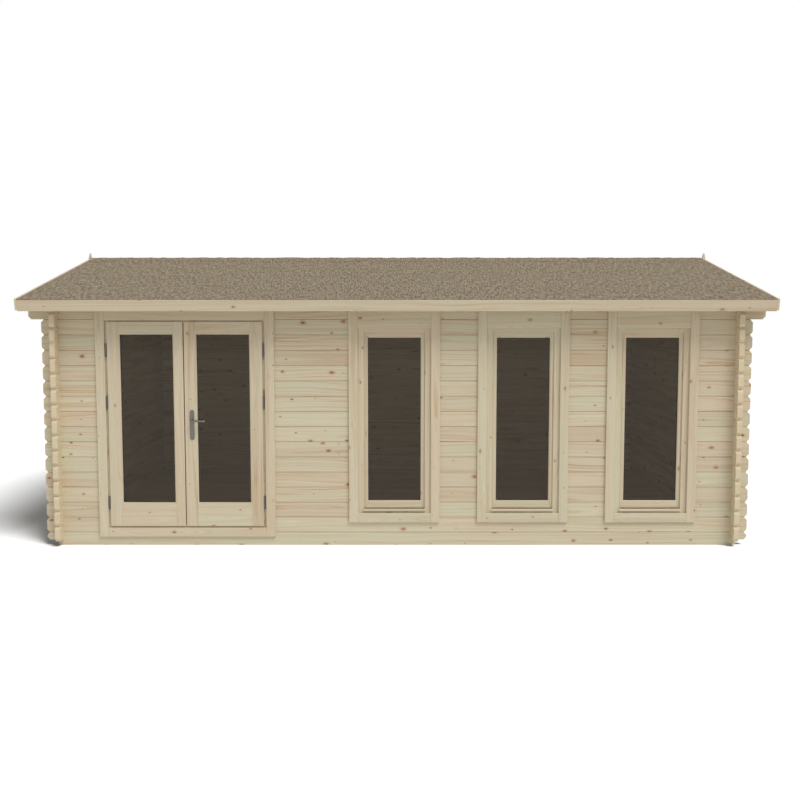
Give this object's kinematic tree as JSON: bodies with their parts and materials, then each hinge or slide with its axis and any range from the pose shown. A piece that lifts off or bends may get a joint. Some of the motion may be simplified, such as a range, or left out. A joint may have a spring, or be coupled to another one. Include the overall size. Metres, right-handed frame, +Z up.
{
  "type": "log cabin",
  "caption": "Long garden log cabin with an apex felt roof, a glazed double door and tall narrow windows in the front.",
  "frame": {"origin": "on the ground under the ridge, at the middle of the cabin's footprint", "axes": "+Z up; the doors and windows face -Y; +X along the ridge, to the right as seen from the front"},
  "size_m": [6.304, 4.2992, 2.589],
  "materials": {
    "wall_pine": "planed, unpainted",
    "trim_pine": "planed, unpainted",
    "joinery_pine": "planed, unpainted",
    "roof_pine": "planed, unpainted",
    "floor_pine": "planed, unpainted",
    "bearer_pine": "sawn",
    "mineral_felt": "matt mineral granules on bitumen",
    "glazing": "clear",
    "satin_steel": "satin"
  },
  "bodies": {
    "cabin": {"foundation_bearers": "bearer_pine", "side_bearers": "bearer_pine", "floor_joists": "bearer_pine", "floor_deck": "floor_pine", "front_wall_base": "wall_pine", "front_wall_left": "wall_pine", "front_wall_sill": "wall_pine", "front_wall_piers": "wall_pine", "front_wall_right": "wall_pine", "front_wall_lintel": "wall_pine", "front_wall_top": "wall_pine", "back_wall": "wall_pine", "back_wall_top": "wall_pine", "left_wall": "wall_pine", "right_wall": "wall_pine", "ridge_purlin": "roof_pine", "side_purlins": "roof_pine", "roof_deck_front": "roof_pine", "roof_deck_back": "roof_pine", "felt_front": "mineral_felt", "felt_back": "mineral_felt", "fascia_front": "trim_pine", "fascia_back": "trim_pine", "verge_boards_left": "trim_pine", "verge_boards_right": "trim_pine", "gable_finials": "trim_pine", "door_jambs": "joinery_pine", "door_head": "joinery_pine", "door_threshold": "joinery_pine", "door_casing_sides": "trim_pine", "door_casing_head": "trim_pine", "door_casing_foot": "trim_pine", "window_frames": "joinery_pine", "window_casings": "trim_pine", "window_sashes": "joinery_pine", "window_glass": "glazing", "frame_hinges": "satin_steel"},
    "left_door": {"left_leaf": "joinery_pine", "left_leaf_glass": "glazing", "left_leaf_hinges": "satin_steel"},
    "right_door": {"right_leaf": "joinery_pine", "right_leaf_glass": "glazing", "right_leaf_hinges": "satin_steel", "handle_plates": "satin_steel"},
    "lever": {"lever_handle": "satin_steel"}
  },
  "joints": [
    {"name": "left_door_swing", "type": "hinge", "parent": "cabin", "child": "left_door", "pos_m": [-2.4545, -1.923, 1.04], "axis": [0, 0, -1], "range_deg": [0, 110]},
    {"name": "right_door_swing", "type": "hinge", "parent": "cabin", "child": "right_door", "pos_m": [-1.1295, -1.923, 1.04], "axis": [0, 0, 1], "range_deg": [0, 110]},
    {"name": "lever_turn", "type": "hinge", "parent": "right_door", "child": "lever", "pos_m": [-1.738, -1.903, 1.076], "axis": [0, 1, 0], "range_deg": [0, 40], "stiffness_Nm_per_rad": 0.8, "springref_deg": -51.57}
  ]
}
